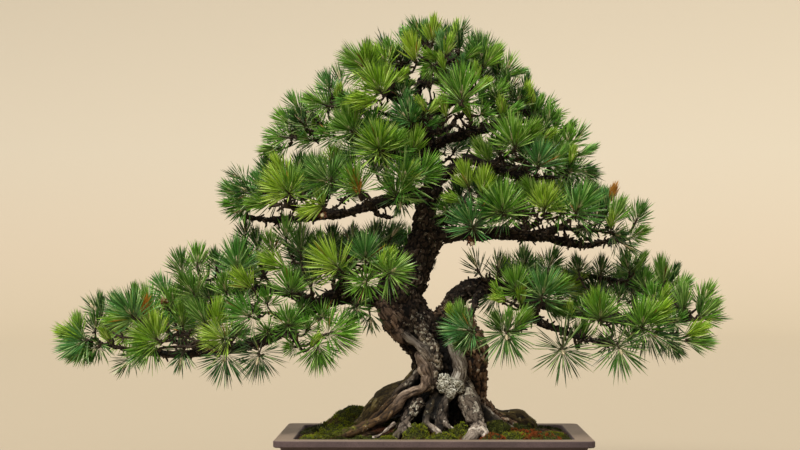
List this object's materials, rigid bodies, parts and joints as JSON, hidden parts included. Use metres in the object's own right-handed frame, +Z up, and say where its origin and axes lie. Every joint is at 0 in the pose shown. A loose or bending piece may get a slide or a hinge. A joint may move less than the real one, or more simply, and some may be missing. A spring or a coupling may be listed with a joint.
{
  "type": "japanese black pine bonsai",
  "caption": "Pine bonsai with flared surface roots and layered needle pads, in a shallow rectangular footed tray with an outward lip.",
  "frame": {"origin": "middle of the tray's underside, on the face of its centre foot, which is the plane the tray stands on", "axes": "+Z up; +X along the tray's long side, towards the shorter lower branch; -Y towards the tree's front"},
  "size_m": [1.1115, 0.395, 0.7821],
  "materials": {
    "stoneware": "matte",
    "screen_mesh": "matte",
    "soil": "matte",
    "bark": "matte",
    "foliage": "satin"
  },
  "bodies": {
    "root": {"tray": "stoneware", "drain_screen_left": "screen_mesh", "drain_screen_right": "screen_mesh", "soil": "soil", "trunk": "bark", "lower_left_branch": "foliage", "lower_right_branch": "foliage", "middle_left_branch": "foliage", "middle_right_branch": "foliage", "upper_right_branch": "foliage", "high_right_branch": "foliage", "high_left_branch": "foliage", "third_left_branch": "foliage", "crown_left": "foliage", "crown_right": "foliage", "leader": "foliage", "low_back_branch": "foliage", "right_back_branch": "foliage", "middle_back_branch": "foliage", "high_back_branch": "foliage"}
  },
  "joints": []
}
